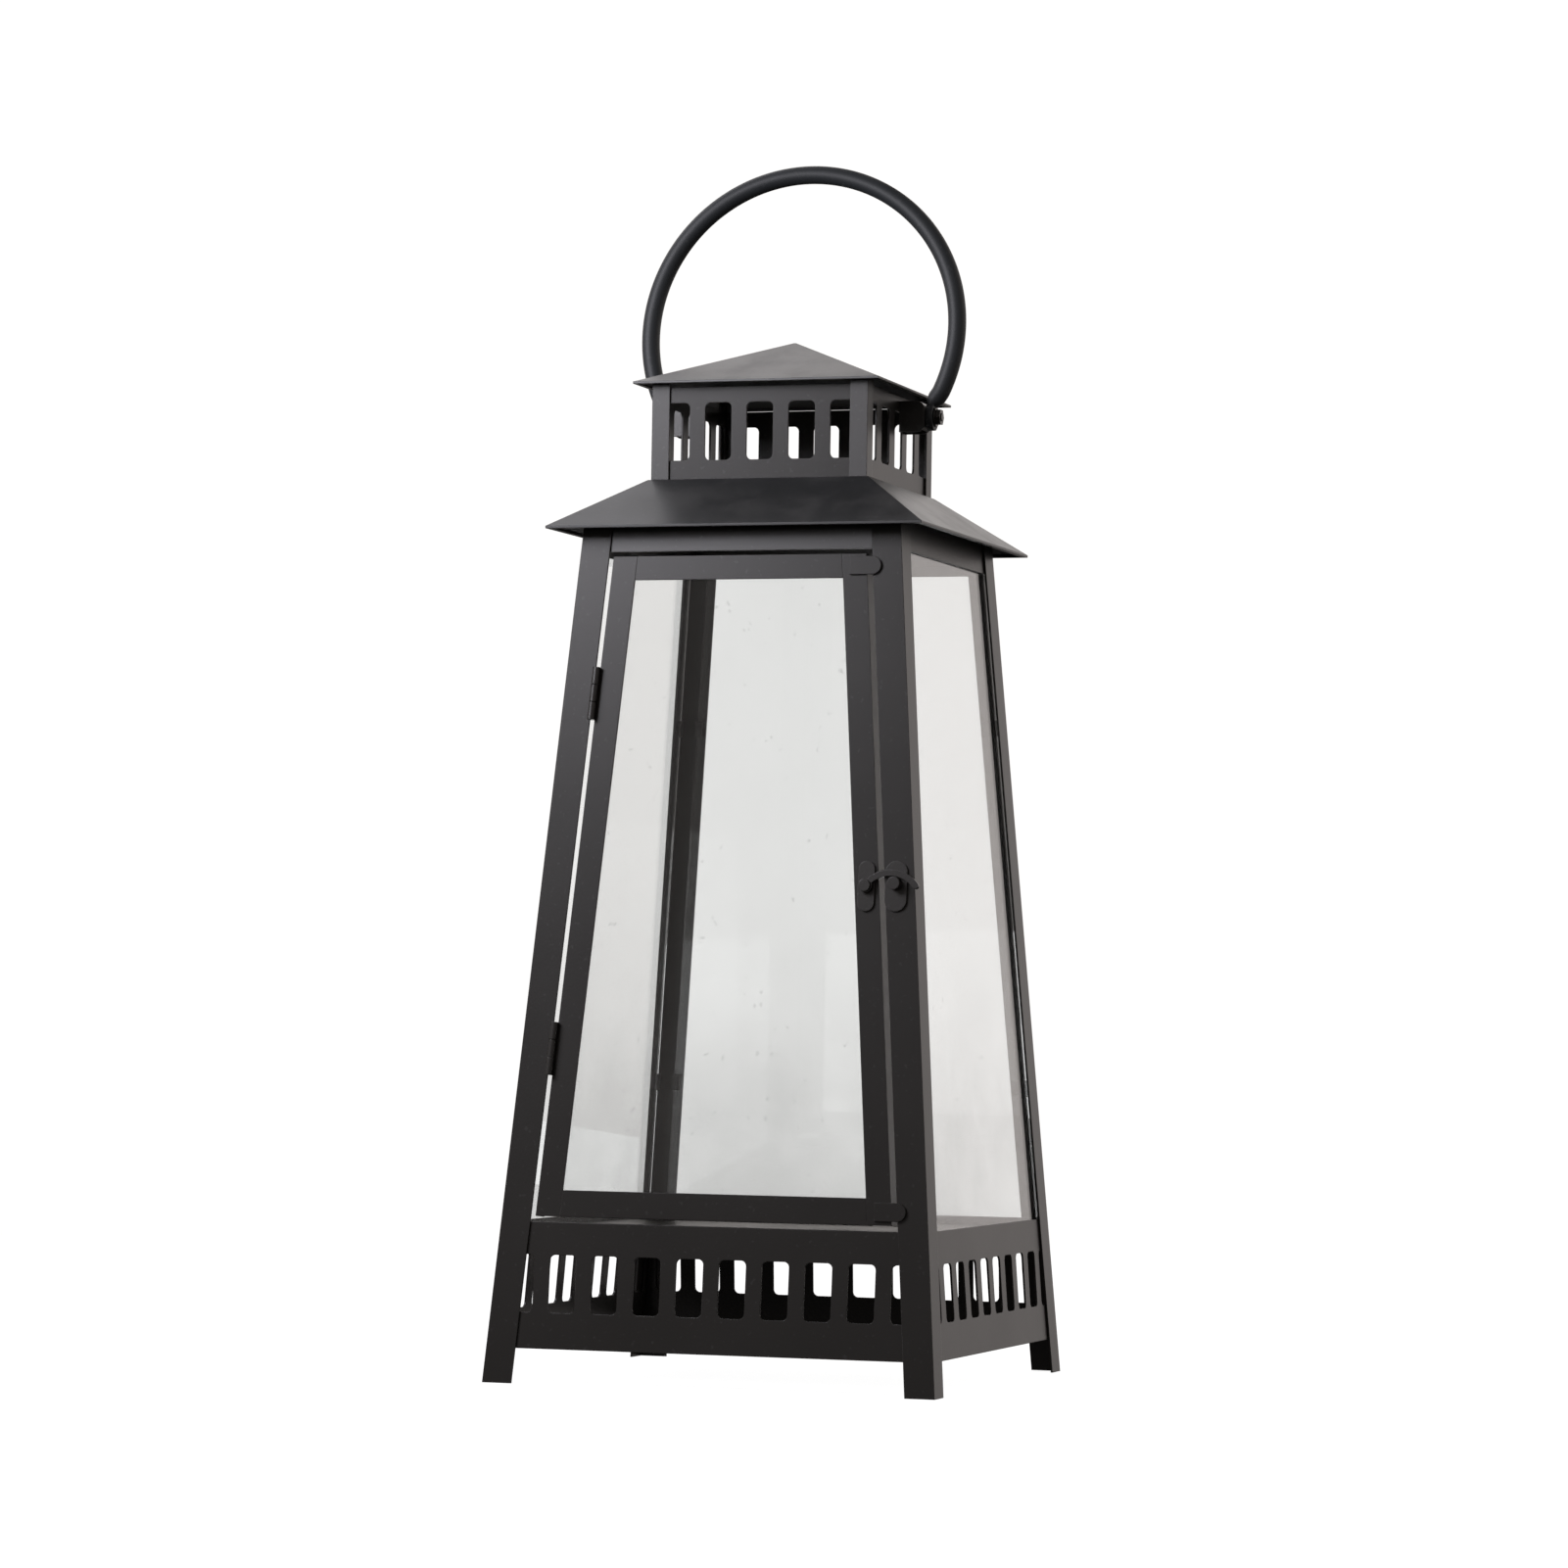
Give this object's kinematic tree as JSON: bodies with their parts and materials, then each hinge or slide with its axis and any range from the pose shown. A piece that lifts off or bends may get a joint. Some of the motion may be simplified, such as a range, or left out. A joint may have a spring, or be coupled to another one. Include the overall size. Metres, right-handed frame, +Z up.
{
  "type": "candle lantern",
  "caption": "Tall tapered candle lantern of black sheet metal with glazed sides, a hinged glass door with hook latch, a vented chimney and a swinging ring handle.",
  "frame": {"origin": "on the ground, under the middle of the four feet", "axes": "+Z up, door facing -Y, door hinges on the -X side"},
  "size_m": [0.221, 0.221, 0.5899],
  "materials": {
    "body_coat": "satin black powder coat",
    "roof_coat": "satin black powder coat",
    "hardware_coat": "black painted hardware",
    "handle_coat": "satin black paint",
    "clear_glass": "clear float glass"
  },
  "bodies": {
    "frame": {"cap_roof": "roof_coat", "catch_plate": "hardware_coat", "catch_stud": "hardware_coat", "chimney_corner_back_left": "body_coat", "chimney_corner_back_right": "body_coat", "chimney_corner_front_left": "body_coat", "chimney_corner_front_right": "body_coat", "chimney_panel_back": "body_coat", "chimney_panel_front": "body_coat", "chimney_panel_left": "body_coat", "chimney_panel_right": "body_coat", "corner_post_back_left": "body_coat", "corner_post_back_right": "body_coat", "corner_post_front_left": "body_coat", "corner_post_front_right": "body_coat", "floor_plate": "body_coat", "glass_back": "clear_glass", "glass_clips": "hardware_coat", "glass_left": "clear_glass", "glass_right": "clear_glass", "handle_bolt_left": "hardware_coat", "handle_bolt_right": "hardware_coat", "handle_bracket_left": "hardware_coat", "handle_bracket_right": "hardware_coat", "handle_nut_left": "hardware_coat", "handle_nut_right": "hardware_coat", "handle_washer_left": "hardware_coat", "handle_washer_right": "hardware_coat", "header_back": "body_coat", "header_front": "body_coat", "header_left": "body_coat", "header_right": "body_coat", "hinge_pin_lower": "hardware_coat", "hinge_pin_upper": "hardware_coat", "hinge_post_leaf_lower": "hardware_coat", "hinge_post_leaf_upper": "hardware_coat", "lower_roof": "roof_coat", "skirt_back": "body_coat", "skirt_front": "body_coat", "skirt_left": "body_coat", "skirt_right": "body_coat"},
    "door": {"door_bottom_rail": "body_coat", "door_glass": "clear_glass", "door_glass_clips": "hardware_coat", "door_left_stile": "body_coat", "door_right_stile": "body_coat", "door_stop_tab_lower": "body_coat", "door_stop_tab_upper": "body_coat", "door_top_rail": "body_coat", "hinge_door_leaf_lower": "hardware_coat", "hinge_door_leaf_upper": "hardware_coat", "latch_plate": "hardware_coat", "latch_rivet": "hardware_coat"},
    "latch_hook": {"latch_hook": "hardware_coat"},
    "handle": {"handle": "handle_coat"}
  },
  "joints": [
    {"name": "door_hinge", "type": "hinge", "parent": "frame", "child": "door", "pos_m": [-0.06926, -0.08686, 0.32465], "axis": [-0.0782, -0.0782, -0.9939], "range_deg": [0, 160]},
    {"name": "latch_swing", "type": "hinge", "parent": "door", "child": "latch_hook", "pos_m": [0.06876, -0.09211, 0.23428], "axis": [0, -0.9969, 0.0785], "range_deg": [0, 110]},
    {"name": "handle_swing", "type": "hinge", "parent": "frame", "child": "handle", "pos_m": [0, 0.007, 0.46351], "axis": [1, 0, 0], "range_deg": [-79.2, 90.8]}
  ]
}
